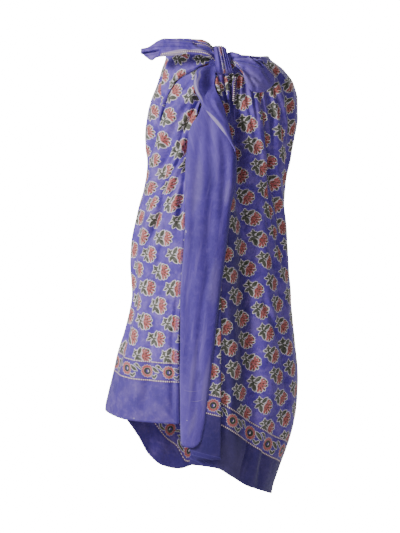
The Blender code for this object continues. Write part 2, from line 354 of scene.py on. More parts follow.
bandPrint, given, out = groupTree(
    "bandPrint",
    [("Place", "Vector", None)],
    [("Green", "Float"), ("Coral", "Float"), ("Cream", "Float"), ("Edge", "Float")],
)


def buildBand(tree, given, out):
    pitch = band["pitch"]
    along, high = split(tree, given["Place"])
    rise = minus(tree, high, band["middle"])
    fromRosette = fromMiddle(tree, number(tree, "MULTIPLY_ADD", along, 1 / pitch, 0.5))
    rosettePlace = joined(tree, times(tree, fromRosette, pitch), rise)
    lengthOut = vector(tree, "LENGTH", rosettePlace)
    rosetteX, rosetteY = split(tree, rosettePlace)
    around = number(tree, "ARCTAN2", rosetteY, rosetteX)
    lobes = number(tree, "ABSOLUTE", number(tree, "SINE", times(tree, around, band["scallops"] / 2)))
    ragged = uneven(tree, given["Place"], *band["ragged"])
    rim = number(tree, "MULTIPLY_ADD", lobes, band["scallopDepth"], band["rosette"] - band["rimIn"])
    rim = plus(tree, minus(tree, lengthOut, rim), ragged)
    fromGap = fromMiddle(tree, times(tree, along, 1 / pitch))
    gapPlace = joined(tree, times(tree, fromGap, pitch), rise)
    leaves = [printedShape(tree, gapPlace, x - pitch / 2, *shape) for x, *shape in band["green"]]
    leaf = plus(tree, nearest(tree, leaves), ragged)
    ring = number(tree, "ABSOLUTE", minus(tree, lengthOut, band["ring"][0]))
    ring = minus(tree, ring, band["ring"][1])
    petal = number(tree, "MAXIMUM", rim, minus(tree, band["petalsFrom"], lengthOut))
    eye = minus(tree, lengthOut, band["eye"][0])
    eye = number(tree, "MAXIMUM", eye, minus(tree, band["eye"][1], rosetteX))
    leafOutline, petalOutline = band["outlines"]
    pale = nearest(tree, [minus(tree, leaf, leafOutline), minus(tree, petal, petalOutline), eye])
    green, coral, cream = [
        soft(tree, shape, 0.4, -0.4) for shape in (number(tree, "MINIMUM", leaf, ring), petal, pale)
    ]
    dots = number(tree, "SINE", times(tree, along, 2 * math.pi / band["dotPitch"]))
    dots = soft(tree, dots, *band["dots"])
    lines = [minus(tree, high, band[line]) for line in ("lowerLine", "upperLine")]
    lineAway = nearest(tree, [number(tree, "ABSOLUTE", line) for line in lines])
    lineAway = plus(tree, lineAway, times(tree, ragged, band["raggedLine"]))
    dotted = times(tree, soft(tree, lineAway, *band["thread"]), dots)
    redEdge = minus(tree, soft(tree, lineAway, *band["redEdge"]), dotted)
    within = number(tree, "LESS_THAN", number(tree, "ABSOLUTE", rise), band["reach"])
    green, coral, cream = [times(tree, mask, within) for mask in (green, coral, cream)]
    cream = number(tree, "MAXIMUM", cream, dotted)
    feed(tree, out, [green, coral, cream, times(tree, redEdge, band["redStrength"])])


buildBand(bandPrint, given, out)

dye = {
    "violet": (0.112, 0.058, 0.450, 1),
    "lavender": (0.275, 0.180, 0.620, 1),
    "deep": (0.060, 0.032, 0.290, 1),
    "cream": (0.92, 0.84, 0.84, 1),
    "coral": (0.455, 0.076, 0.080, 1),
    "green": (0.048, 0.058, 0.032, 1),
    "russet": (0.150, 0.024, 0.050, 1),
    # border is the deep border dye, and also the colour of the painted shade marks
    "border": (0.020, 0.014, 0.105, 1),
    "bright": (0.215, 0.140, 0.620, 1),
    "washed": (0.52, 0.43, 0.66, 1),
    "thread": (0.190, 0.160, 0.500, 1),
}

unevenDye = {  # each noise: how close, fine and rough it is, then the heights where it starts and is full
    "clouds": (0.022, 3.0, 0.6, 0.40, 0.68),
    "blotches": (0.075, 3.0, 0.65, 0.46, 0.72),
    "patches": (0.035, 4.0, 0.7, 0.58, 0.36),
    "streakStretch": (0.075, 0.006, 1),
    "streaks": (1.0, 3.0, 0.6),
    "paleStreak": (0.46, 0.72),
    "deepStreak": (0.48, 0.30),
    "paleShares": (0.45, 0.55),  # blotches and clouds
    "deepShare": 0.5,
    "threadStretch": [(1.4, 0.02, 1), (0.02, 1.4, 1)],  # warp and weft
    "threadShade": 0.16,
}

# Uneven hand dyeing: clouds, blotches and faint threads both ways
washedDye, given, out = groupTree(
    "washedDye",
    [
        ("Place", "Vector", None),
        ("Cloud", "Float", 1.0),
        ("Streak", "Float", 0.0),
        ("Ground", "Color", None),
        ("Pale", "Color", None),
        ("Deep", "Color", None),
    ],
    [("Color", "Color"), ("Threads", "Float")],
)


def buildDye(tree, given, out):
    place, cloud = given["Place"], given["Cloud"]
    clouds, blotches, patches = [
        soft(tree, cloudy(tree, place, *unevenDye[label][:3]), *unevenDye[label][3:])
        for label in ("clouds", "blotches", "patches")
    ]
    stretched = vector(tree, "MULTIPLY", place, unevenDye["streakStretch"])
    streaks = cloudy(tree, stretched, *unevenDye["streaks"])
    paleStreaks, deepStreaks = [
        times(tree, soft(tree, streaks, *unevenDye[label]), given["Streak"])
        for label in ("paleStreak", "deepStreak")
    ]
    blotchShare, cloudShare = unevenDye["paleShares"]
    pale = number(tree, "MULTIPLY_ADD", blotches, blotchShare, times(tree, clouds, cloudShare))
    pale = number(tree, "MAXIMUM", times(tree, pale, cloud), paleStreaks)
    deep = number(tree, "MAXIMUM", times(tree, patches, cloud), deepStreaks)
    tone = mixed(tree, times(tree, deep, unevenDye["deepShare"]), given["Ground"], given["Deep"])
    tone = mixed(tree, pale, tone, given["Pale"])
    warp, weft = [
        cloudy(tree, vector(tree, "MULTIPLY", place, stretch), 1.0, 1.0)
        for stretch in unevenDye["threadStretch"]
    ]
    threads = times(tree, plus(tree, warp, weft), 0.5)
    most = unevenDye["threadShade"]
    shade = number(tree, "MULTIPLY_ADD", soft(tree, threads, 0.3, 0.7), -most, most)
    feed(tree, out, [mixed(tree, shade, tone, given["Deep"]), threads])


buildDye(washedDye, given, out)

# Plain voile weave: threads over and under, as a height
voileWeave, given, out = groupTree(
    "voileWeave", [("Place", "Vector", None), ("Pitch", "Float", 0.9)], [("Height", "Float")]
)


def buildWeave(tree, given, out):
    perThread = number(tree, "DIVIDE", 2 * math.pi, given["Pitch"])
    parts = split(tree, vector(tree, "SCALE", given["Place"], perThread))
    waves = [number(tree, "SINE", part) for part in parts]
    feed(tree, out, [number(tree, "MULTIPLY_ADD", times(tree, *waves), 0.5, 0.5)])


buildWeave(voileWeave, given, out)

hemSewing = {
    "stitchIn": 1.4,  # how far the stitches lie from the turned edge, towards the cut
    "stitchWave": 2.1,
    "dash": (-0.5, 0.1),
    "stitchWidth": (0.75, 0.35),
    "pull": (0.4, 2.0, 0.6),  # where the cloth sinks beside the stitches, how far, and how much
}

# Narrow turned hem: how much doubled, its edge and its running stitches. Edge is the distance in from the cut
turnedHem, given, out = groupTree(
    "turnedHem",
    [("Edge", "Float", 0.0), ("Along", "Float", 0.0), ("Width", "Float", 6.0)],
    [("Doubled", "Float"), ("Stitch", "Float"), ("Height", "Float")],
)


def buildHem(tree, given, out):
    edge, width = given["Edge"], given["Width"]
    doubled = soft(tree, edge, plus(tree, width, 0.5), minus(tree, width, 0.5))
    line = number(tree, "ABSOLUTE", minus(tree, edge, minus(tree, width, hemSewing["stitchIn"])))
    wave = number(tree, "SINE", times(tree, given["Along"], hemSewing["stitchWave"]))
    dash = soft(tree, wave, *hemSewing["dash"])
    stitch = times(tree, soft(tree, line, *hemSewing["stitchWidth"]), dash)
    start, reach, depth = hemSewing["pull"]
    pull = soft(tree, minus(tree, line, start), reach, 0.0)
    height = minus(tree, doubled, times(tree, pull, depth))
    feed(tree, out, [doubled, stitch, height])


buildHem(turnedHem, given, out)


borderDyeAndShade = {  # how much deeper the dye is in the border than among the flowers; part of it is painted shade
    "plain": 0.34,
    "round": (300.0, 620.0, 0.42),  # painted shade: from and to along the border, and how much darker it gets further round from the left front edge
    "ties": (1300.0, 1400.0, -0.68),  # the tied ends are the palest: they lose nearly all of that deepening, painted shade included
    "strip": 0.30,
    "sideHem": 500.0,  # the side edges are turned up to this height above the border's hem
}
ink = {
    "wear": (0.11, 3.0, 0.6),  # how close, fine and rough the worn patches are
    "least": 0.68,
    "gain": 0.5,
    "most": 0.97,
}
cotton = {  # finish that every stretch of the cloth has
    "sheenRoughness": 0.45,
    "shine": 0.32,
    "hemShade": 0.35,
    "stitchShade": 0.5,
    "creases": (0.10, 5.0, 0.62),
    "heights": (0.12, 0.10, 0.3),  # of the threads, the weave and the hem, beside the creases
    "bumpDistance": 0.0035,
}


def deeperDyeAndShade(tree, along, high):
    plain = soft(tree, high, band["lowerLine"] + 1, band["lowerLine"] - 1)
    lower = soft(tree, high, band["upperLine"] + 1, band["upperLine"] - 1)
    # painted shade: the border darkens further round from the left front edge, towards the right front
    start, stop, most = borderDyeAndShade["round"]
    far = times(tree, soft(tree, number(tree, "ABSOLUTE", along), start, stop), most)
    start, stop, change = borderDyeAndShade["ties"]
    ties = soft(tree, along, start, stop)
    deeper = number(tree, "MULTIPLY_ADD", ties, change, plus(tree, far, borderDyeAndShade["plain"]))
    strip = minus(tree, lower, plain)
    return number(tree, "MULTIPLY_ADD", strip, borderDyeAndShade["strip"], times(tree, plain, deeper))


def printed(tree, look, colour, place, hemPlace):  # flowers above the border and the strip along it
    along, high = split(tree, hemPlace)
    colour = mixed(tree, deeperDyeAndShade(tree, along, high), colour, dye["border"])
    above = number(tree, "GREATER_THAN", high, band["upperLine"] + 1.5)
    worn = number(tree, "MULTIPLY_ADD", cloudy(tree, place, *ink["wear"]), ink["gain"], ink["least"])
    flowers = placed(tree, flowerPrint, Place=vector(tree, "ADD", place, look["flowerShift"]))
    strip = placed(tree, bandPrint, Place=vector(tree, "ADD", hemPlace, look["bandShift"]))
    colour = mixed(tree, strip["Edge"], colour, dye["russet"])
    for label in ("Cream", "Coral", "Green"):
        mask = number(tree, "MAXIMUM", times(tree, flowers[label], above), strip[label])
        mask = number(tree, "MINIMUM", times(tree, mask, worn), ink["most"])
        colour = mixed(tree, mask, colour, dye[label.lower()])
    return colour


def hemOf(tree, hemPlace):
    along, high = split(tree, hemPlace)
    fromSide = times(tree, number(tree, "GREATER_THAN", high, borderDyeAndShade["sideHem"]), 50.0)
    fromSide = plus(tree, number(tree, "ABSOLUTE", along), fromSide)
    hems = [
        placed(tree, turnedHem, Edge=number(tree, "ABSOLUTE", high), Along=along),
        placed(tree, turnedHem, Edge=fromSide, Along=high),
    ]
    labels = ("Doubled", "Stitch", "Height")
    return [number(tree, "MAXIMUM", *[hem[label] for hem in hems]) for label in labels]


def makeFabric(name, look):
    material = bpy.data.materials.new(name)
    material.use_nodes = True
    tree = material.node_tree
    shader = tree.nodes["Principled BSDF"]
    places = []
    for label in ("cloth", "border"):
        layout = tree.nodes.new("ShaderNodeUVMap")
        layout.uv_map = label
        places.append(vector(tree, "SCALE", layout.outputs[0], 1000.0))
    place, hemPlace = places
    dyeing = {label: look[label.lower()] for label in ("Cloud", "Streak", "Ground", "Pale", "Deep")}
    dyed = placed(tree, washedDye, Place=place, **dyeing)
    colour = dyed["Color"]
    # dye marks, with painted shade and painted highlights among them
    for tint, x, y, long, wide, turn, strength, edge in look["dyeMarksAndPaintedLight"]:
        mark = soft(tree, printedShape(tree, place, x, y, long, wide, turn), edge, -edge)
        colour = mixed(tree, times(tree, mark, strength), colour, dye[tint])
    if look["printed"]:
        colour = printed(tree, look, colour, place, hemPlace)
    doubled, stitch, hemHeight = hemOf(tree, hemPlace)
    colour = mixed(tree, times(tree, doubled, cotton["hemShade"]), colour, dye["deep"])
    colour = mixed(tree, times(tree, stitch, cotton["stitchShade"]), colour, dye["thread"])
    feed(tree, [shader.inputs["Base Color"]], [colour])
    shader.inputs["Roughness"].default_value = look["roughness"]
    shader.inputs["Sheen Weight"].default_value = look["sheen"]
    shader.inputs["Sheen Roughness"].default_value = cotton["sheenRoughness"]
    shader.inputs["Specular IOR Level"].default_value = cotton["shine"]
    weave = placed(tree, voileWeave, Place=place, Pitch=look["threadPitch"])
    height = cloudy(tree, place, *cotton["creases"])
    for part, size in zip((dyed["Threads"], weave["Height"], hemHeight), cotton["heights"]):
        height = number(tree, "MULTIPLY_ADD", part, size, height)
    bump = tree.nodes.new("ShaderNodeBump")
    bump.inputs["Strength"].default_value = look["crumple"]
    bump.inputs["Distance"].default_value = cotton["bumpDistance"]
    feed(tree, [bump.inputs["Height"]], [height])
    feed(tree, [shader.inputs["Normal"]], [bump.outputs[0]])
    through = tree.nodes.new("ShaderNodeBsdfTranslucent")
    feed(tree, [through.inputs["Color"]], [colour])
    both = tree.nodes.new("ShaderNodeMixShader")
    both.inputs[0].default_value = look["seeThrough"]
    tree.links.new(shader.outputs[0], both.inputs[1])
    tree.links.new(through.outputs[0], both.inputs[2])
    tree.links.new(both.outputs[0], tree.nodes["Material Output"].inputs["Surface"])
    return material


printedLook = {
    "printed": True,
    "ground": dye["violet"],
    "pale": dye["lavender"],
    "deep": dye["deep"],
    "cloud": 1.0,
    "streak": 0.0,
    "dyeMarksAndPaintedLight": [  # dye, x, y, half length, half width, turn, strength, soft edge; some marks are painted shade and painted highlights
        ("washed", 1895, 101, 38, 7.0, -3, 0.95, 1.2),
        ("washed", 1940, 98, 34, 2.6, -8, 0.8, 0.8),
        # painted light: the first mark lightens the right tied end where the key lamp hardly reaches it, the
        # second is a painted highlight on it; both partly a paler wash
        ("bright", 2322, 62, 80, 46, 0, 0.55, 14),
        ("washed", 2336, 54, 32, 14, 0, 0.20, 10),
        ("washed", 984, 40, 84, 36, 118, 0.34, 16),
        ("washed", -115, 6, 2.6, 1.9, 0, 0.95, 0.6),
        # painted shade: these two dark marks paint the shadow in the recess beside the hanging end onto the
        # right stretch
        ("border", 832, 352, 320, 42, 119, 0.62, 16),
        ("border", 912, 172, 120, 34, 119, 0.52, 15),
    ],
    "roughness": 0.62,
    "sheen": 0.25,
    "crumple": 0.35,
    "seeThrough": 0.12,
    "threadPitch": 0.9,
    "flowerShift": (17, 6.5, 0),
    "bandShift": (22, 0, 0),
}
plainLook = dict(
    printedLook,
    printed=False,
    ground=(0.076, 0.037, 0.338, 1),
    pale=(0.210, 0.140, 0.540, 1),
    cloud=0.45,
    streak=0.62,
    dyeMarksAndPaintedLight=[
        # painted sheen: pale streaks on the twist's left side, where it catches the light; partly the paler
        # wrong side of the cloth
        ("washed", 243, 886, 36, 4.2, 92, 0.70, 2.5),
        ("washed", 234, 905, 26, 2.6, 96, 0.40, 1.5),
        ("washed", 226, 795, 34, 5.4, 62, 0.62, 2.5),
        ("washed", 99, 509, 3.6, 1.5, 78, 0.9, 0.4),
        ("washed", 101, 501, 2.6, 0.8, 84, 0.5, 0.4),
        ("bright", 28, 80, 160, 40, 90, 0.26, 18),
        ("bright", 60, 760, 120, 40, 90, 0.22, 20),
        ("washed", 17, 601, 28, 10, 84, 0.10, 6),
        ("washed", 18, 384, 62, 11, 86, 0.10, 6),
        ("washed", 87, 628, 72, 12, 90, 0.11, 8),
        ("border", 58, 655, 50, 9, 88, 0.24, 7),
        ("border", 74, 506, 48, 24, 88, 0.14, 14),
        ("border", 30, 420, 90, 16, 88, 0.12, 12),
        ("border", 27, 167, 17, 6, 84, 0.30, 3),
        ("washed", 42, 181, 72, 5, 91, 0.13, 5),
        ("washed", 9, 138, 66, 8, 90, 0.15, 5),
        ("washed", 30, 60, 34, 6, 96, 0.14, 6),
        ("washed", 24, 110, 17, 0.8, 2, 0.26, 0.5),
        ("washed", 42, 134, 20, 0.7, -2, 0.20, 0.5),
        ("washed", 44, 64, 1.6, 1.1, 0, 0.6, 0.3),
    ],
    roughness=0.55,
    crumple=0.45,
)
printedCotton = makeFabric("printed cotton", printedLook)
plainCotton = makeFabric("plain border cotton", plainLook)
print("fabrics made")

# The wrap: sections of the worn cloth, its edges and its folds

wrap = {
    "sections": [  # drop, left, right, front, back
        (-15, 131, 127, 94, 95),
        (20, 141, 163, 100, 102),
        (55, 152, 188, 107, 114),
        (95, 167, 199, 114, 128),
        (135, 177, 199, 120, 138),
        (185, 182, 191, 125, 143),
        (245, 178, 181, 129, 143),
        (300, 182, 170, 132, 141),
        (375, 201, 166, 136, 142),
        (440, 215, 170, 139, 145),
        (500, 220, 175, 142, 149),
        (585, 216, 182, 148, 155),
        (660, 231, 188, 152, 160),
        (735, 253, 196, 156, 165),
        (800, 268, 200, 160, 170),
        (870, 282, 194, 166, 173),
        (940, 280, 179, 168, 172),
        (1000, 279, 158, 168, 168),
        (1080, 280, 134, 166, 160),
    ],
    "hem": [  # angle, drop
        (10, 889), (50, 884), (90, 867), (112, 873), (125, 896), (138, 946), (148, 997), (159, 1027),
        (172, 1037), (185, 1024), (225, 1040), (270, 1076), (315, 1047), (335, 1015), (346, 995), (366, 986),
    ],
    "waist": [(0, -12), (40, -12), (90, -14), (180, -4), (270, -13), (315, -7), (366, -7)],
    "leftEdge": [  # drop, angle
        (-12, 8), (100, 19), (300, 20), (440, 18), (520, 19.5), (600, 23.5), (700, 20), (800, 16), (889, 13),
    ],
    "rightEdge": [(-12, 367), (100, 373), (300, 375), (500, 371.5), (700, 370), (900, 365), (986, 363.4)],
    "folds": [  # from angle, drop, to angle, drop, width, depth, bend
        (52, 50, 66, 215, 24, -9, 2),
        (17, 70, 63, 360, 26, -12, 4),
        (24, 180, 57, 500, 22, -11, -3),
        (29, 230, 23, 430, 16, -7, 0),
        (67, 330, 73, 800, 30, -8, 2),
        (45, 520, 36, 880, 46, -6, 0),
        (-8, 112, -31, 440, 34, -14, 2),
        (-29, 380, -36, 1040, 44, -11, 4),
        (-30, 40, -74, 540, 20, -11, 0),
        (-52, 20, -80, 330, 20, -9, 0),
        (-58, 420, -50, 1060, 40, -7, -4),
        (112, 40, 115, 520, 30, -9, 2),
        (128, 0, 124, 640, 34, -11, -4),
        (149, 10, 156, 1020, 38, -12, 4),
        (168, 0, 171, 560, 24, -8, 0),
        (198, 20, 199, 1020, 38, -13, 3),
        (218, 0, 222, 480, 24, -9, 2),
        (236, 30, 240, 1050, 40, -11, 4),
        (251, 10, 253, 620, 25, -8, 0),
    ],
    "fineFolds": [  # sharper creases
        (20, 95, 38, 300, 9, -3.5, 3),
        (30, 60, 58, 190, 9, -3.5, 2),
        (40, 330, 62, 520, 10, -3.0, -2),
        (31, 560, 27, 820, 14, -2.5, 1),
        (58, 600, 55, 860, 18, -3.0, 0),
        (-20, 70, -46, 330, 9, -4.5, 2),
        (-38, 90, -62, 420, 9, -4.0, 1),
        (-46, 300, -66, 640, 12, -3.5, 1),
        (-20, 500, -16, 960, 20, 3.0, 0),
        (-58, 620, -64, 1000, 16, -3.0, 0),
        (100, 60, 98, 420, 16, -3.5, 1),
        (138, 40, 140, 500, 14, -4.0, 1),
        (160, 40, 162, 640, 14, -4.0, -1),
        (184, 20, 186, 700, 14, -4.0, 1),
        (208, 30, 211, 620, 14, -4.0, 0),
        (228, 30, 230, 760, 14, -3.5, 0),
        (246, 40, 247, 600, 12, -3.5, 0),
    ],
    "creases": [  # drop and x down each one; width, depth, side where the cloth laps over, cloth hidden in it
        ([(60, -42), (100, -52), (169, -84), (239, -110), (306, -148), (360, -172)], 11, -9.0, -1, 0),
        ([(190, -76), (297, -124), (379, -151), (437, -175), (480, -190)], 10, -8.0, 1, -14),
        ([(120, -60), (190, -100), (240, -128), (300, -160)], 8, -5.0, -1, 0),
        ([(225, -82), (300, -88), (350, -94), (430, -101)], 10, -8.0, 1, 0),
        ([(96, -128), (132, -142), (193, -161), (240, -168)], 9, -8.0, -1, 0),
        ([(400, -130), (520, -152), (640, -170)], 12, -4.5, 1, 0),
        ([(560, -100), (700, -112), (889, -112)], 12, -5.0, 1, 0),
        ([(640, -160), (760, -170), (884, -182)], 16, -4.0, -1, 0),
        (
            [(90, 27), (132, 36), (268, 55), (394, 70), (435, 74), (592, 60), (769, 68), (892, 84)],
            42, -11.0, 1, 0,
        ),
        (
            [(60, 98), (96, 104), (157, 114), (213, 124), (268, 133), (334, 144), (420, 157), (517, 163)],
            9, -10.0, 1, 26,
        ),
        ([(50, 62), (110, 72), (200, 92), (280, 104)], 9, -5.5, 1, 0),
        ([(40, 128), (110, 148), (175, 160), (240, 166)], 9, -6.5, 1, 10),
        ([(590, 118), (633, 132), (750, 168)], 9, -6.0, 1, 0),
        ([(430, 98), (560, 112), (700, 118)], 22, -5.0, -1, 0),
        ([(900, 84), (944, 75), (1028, 53)], 6, -3.5, 1, 0),
        ([(930, 120), (1000, 108), (1060, 100)], 14, -5.0, -1, 0),
        ([(36, 14), (70, 15), (105, 17), (150, 22)], 6, -10.0, 1, 0),
        ([(36, 31), (70, 30), (105, 31), (160, 38)], 5, -8.0, 1, 0),
        ([(40, 52), (75, 48), (120, 46), (170, 50)], 6, -7.0, 1, 0),
    ],
    "edgeOver": (1.3, 380, 560),  # degrees that the free edge runs on under the tail, drops from and to
    "edgeTurn": (2.5, 6),  # how far the free edge turns in, and over how much cloth
    "sideTurn": (3.2, 256, 264),  # how far the other edge goes under the right stretch, angles from and to
    "rightTurn": (2.6, 5),
    "rightProud": 0.6,
    "edgeScale": (2.4, 2.6),  # millimetres for each degree at the free edge and at the right stretch's edge
    "recess": [(120, 44), (268, 68), (394, 82), (435, 84), (592, 78), (769, 78), (892, 88), (1040, 92)],
    "recessShape": (19.0, 58.0, 96.0),  # depth, and how far it reaches left and right of that line
    "leftAngles": (13.0, 277.0),
    "rightAngles": (265.0, 363.4),
    "printTilt": 28.0,
    "printScale": (0.925, 0.965),
    "flowerAt": (87.0, 864.5),  # right panel: along from the pleat, drop
    "flowerCloth": (984.0, 164.0),  # where that flower is on the print
    "pleatDraw": (29.0, 560.0, 430.0),  # cloth drawn to the knot, below which drop none, over what length
    "printLine": -16.0,  # x of the line that the right panel's print is measured from
    "borderTilt": 24.0,
    "fieldBase": [
        (10, 889), (50, 884), (90, 869), (112, 880), (135, 910),
        (160, 945), (185, 975), (225, 1020), (250, 1045), (277, 1070),
    ],
    "drawnUp": 46.0,
    "drawnUpAt": (-100.0, 760.0),  # along from the free edge and height, where the print turns about
    "drawnUpOver": ((60, 420), (80, 135)),  # drops and angles between which that turn ends
    "hangFrom": (650.0, 900.0),  # drops between which the slack in the folds ends
    "backBase": [  # the print's base line beside the hem: angle, drop
        (10, 889), (50, 884), (90, 867), (112, 878), (125, 922), (138, 985), (150.5, 1048), (159, 1086),
        (167, 1107), (176, 1148), (185, 1143), (200, 1120), (225, 1100), (245, 1096), (277, 1100),
    ],
    "backTilt": [(10, 0), (112, 4), (138, 30), (150, 40), (178, 40), (200, 8), (225, 0), (380, 0)],
    "tiltNear": (170, 260),  # heights above the hem between which that tilt ends
    "borderShift": (12, 90, 150),  # how far the border's print shifts, angles from and to
    "printBase": [  # angle, drop
        (265, 1112), (297, 1091), (315, 1067), (329.5, 1039), (346, 1003), (366, 965),
    ],
    "printStart": 938.0,
    "shell": 0.8,
}


def curveThrough(rows, column, at):  # a smooth curve through a table's rows that never overshoots
    rows = np.asarray(rows, float)
    x, y = rows[:, 0], rows[:, column]
    at = np.clip(at, x[0], x[-1])
    index = np.clip(np.searchsorted(x, at, side="right") - 1, 0, len(x) - 2)
    span = np.diff(x)
    rise = np.diff(y) / span
    same = rise[:-1] * rise[1:] > 0
    slope = np.zeros(len(x))
    slope[1:-1] = np.where(same, 2 * rise[:-1] * rise[1:] / np.where(same, rise[:-1] + rise[1:], 1), 0)
    t = (at - x[index]) / span[index]
    return (
        y[index] * (1 + 2 * t) * (1 - t) ** 2
        + y[index + 1] * t * t * (3 - 2 * t)
        + span[index] * t * (1 - t) * (slope[index] * (1 - t) - slope[index + 1] * t)
    )


def ease(low, high, at):
    t = np.clip((np.asarray(at, float) - low) / (high - low), 0, 1)
    return t * t * (3 - 2 * t)


def between(low, high, share):
    return low + (high - low) * share


def foldRelief(angle, drop, radius):
    total = np.zeros(np.broadcast(angle, drop).shape)
    for rows, pinch in ((wrap["folds"], 1.0), (wrap["fineFolds"], 1.6)):
        for fromAngle, fromDrop, toAngle, toDrop, width, depth, bend in rows:
            share = (drop - fromDrop) / (toDrop - fromDrop)
            middle = between(fromAngle, toAngle, share) + bend * np.sin(np.pi * share)
            across = np.radians((angle - middle + 180) % 360 - 180) * radius / width
            fade = ease(-0.12, 0.16, share) * (1 - ease(0.72, 1.12, share))
            hump = (0.5 + 0.5 * np.cos(np.pi * across)) ** pinch
            total += np.where(np.abs(across) < 1, depth * fade * hump, 0)
    return total


def acrossCrease(path, x, drop):  # how far right of the crease, and how strong it is at this height
    slope = (curveThrough(path, 1, drop + 2) - curveThrough(path, 1, drop - 2)) / 4
    share = (drop - path[0][0]) / (path[-1][0] - path[0][0])
    fade = ease(-0.06, 0.14, share) * (1 - ease(0.7, 1.06, share))
    return (x - curveThrough(path, 1, drop)) / np.hypot(1, slope), fade


def creaseRelief(x, drop):
    total = np.zeros(x.shape)
    for path, width, depth, lap, hidden in wrap["creases"]:
        away, fade = acrossCrease(path, x, drop)
        valley = np.exp(-((away / width / 0.55) ** 2))
        ridge = np.exp(-((away / width - 1.15 * lap) ** 2) / 0.32)
        total += depth * fade * (valley - 0.42 * ridge)
    away, fade = acrossCrease(wrap["recess"], x, drop)
    depth, left, right = wrap["recessShape"]
    return total - depth * fade * np.where(away < 0, ease(-left, 0, away), ease(right, 0, away))


def hiddenCloth(x, drop):  # cloth tucked inside the creases, which the print skips
    total = np.zeros(x.shape)
    for path, width, depth, lap, hidden in wrap["creases"]:
        if hidden:
            away, fade = acrossCrease(path, x, drop)
            total += hidden * fade * ease(-1.5, 1.5, away * np.sign(hidden))
    return total


def sectionAt(drop):
    left, right, front, back = (curveThrough(wrap["sections"], column, drop) for column in (1, 2, 3, 4))
    return (right - left) / 2, (right + left) / 2, front, back


def wrapPlace(angle, drop, proud=0.0, folded=True):
    angle, drop = np.broadcast_arrays(np.asarray(angle, float), np.asarray(drop, float))
    middle, half, front, back = sectionAt(drop)
    turn = np.radians(angle)
    depth = np.where(np.cos(turn) > 0, front, back)
    outX, outY = -np.sin(turn) / half, -np.cos(turn) / depth
    size = np.hypot(outX, outY)
    if folded:
        proud = proud + foldRelief(angle, drop, np.hypot(half * np.cos(turn), depth * np.sin(turn)))
        proud = proud + np.where(np.cos(turn) > 0, creaseRelief(middle - half * np.sin(turn), drop), 0)
    x = middle - half * np.sin(turn) + outX / size * proud
    y = -depth * np.cos(turn) + outY / size * proud
    return np.stack([x, y, -drop], -1)


def frontAngle(x, drop):
    middle, half, front, back = sectionAt(drop)
    return -np.degrees(np.arcsin(np.clip((x - middle) / half, -0.97, 0.97)))


def frontPlace(x, drop, proud, folded=False):
    return wrapPlace(frontAngle(x, drop), drop, proud, folded)


# Cloth length round the wrap at each height, so the print keeps its size
arcStep = 20.0
arcDrops, arcAngles = np.arange(-arcStep, 1101.0, arcStep), np.arange(0.0, 381.0)
arcPlaces = wrapPlace(arcAngles[None, :], arcDrops[:, None], folded=False)
arcSteps = np.linalg.norm(np.diff(arcPlaces, axis=1), axis=-1)
arcLengths = np.concatenate([np.zeros((len(arcDrops), 1)), np.cumsum(arcSteps, axis=1)], axis=1)


def arcAt(angle, drop):
    row = np.clip((drop - arcDrops[0]) / arcStep, 0, len(arcDrops) - 1.001)
    column = np.clip(angle, 0, len(arcAngles) - 1.001)
    r, c = row.astype(int), column.astype(int)
    row, column = row - r, column - c
    top = between(arcLengths[r, c], arcLengths[r, c + 1], column)
    low = between(arcLengths[r + 1, c], arcLengths[r + 1, c + 1], column)
    return between(top, low, row)


def crumple(places, seed, size, depth):  # small uneven waves that a worn cotton keeps
    waves = [
        noise.fractal(Vector((x / size + seed, y / size, z / size / 1.6)), 1.0, 2.0, 3)
        for x, y, z in places.reshape(-1, 3)
    ]
    return depth * np.array(waves).reshape(places.shape[:-1])


def pushed(places, amount):  # moved along the surface's own normal, outwards
    down = np.gradient(places, axis=0)
    across = np.gradient(places, axis=1)
    normal = np.cross(across, down)
    normal /= np.maximum(np.linalg.norm(normal, axis=-1, keepdims=True), 1e-9)
    return places - normal * amount[..., None]


def layCloth(name, places, onCloth, material, nodes, onBorder=None, shell=wrap["shell"]):
    rows, columns = places.shape[:2]
    corner = np.arange(rows * columns).reshape(rows, columns)
    faces = np.stack([corner[:-1, :-1], corner[:-1, 1:], corner[1:, 1:], corner[1:, :-1]], -1).reshape(-1, 4)
    mesh = bpy.data.meshes.new(name)
    mesh.from_pydata((places.reshape(-1, 3) * mm).tolist(), [], faces.tolist())
    for label, spots in (("cloth", onCloth), ("border", onCloth if onBorder is None else onBorder)):
        spots = spots.reshape(-1, 2)[faces.reshape(-1)] * mm
        layer = mesh.uv_layers.new(name=label)
        layer.data.foreach_set("uv", spots.astype(np.float32).reshape(-1))
    mesh.materials.append(material)
    mesh.shade_smooth()
    piece = bpy.data.objects.new(name, mesh)
    bpy.context.collection.objects.link(piece)
    wall = piece.modifiers.new("wall", "SOLIDIFY")
    wall.thickness = shell * mm
    wall.offset = -1
    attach(piece, "root")
    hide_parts(*nodes)


def gridOf(rows, columns):
    return np.meshgrid(np.linspace(0, 1, rows + 1), np.linspace(0, 1, columns + 1), indexing="ij")


def turnedBy(x, y, turn):
    return x * np.cos(turn) - y * np.sin(turn), x * np.sin(turn) + y * np.cos(turn)


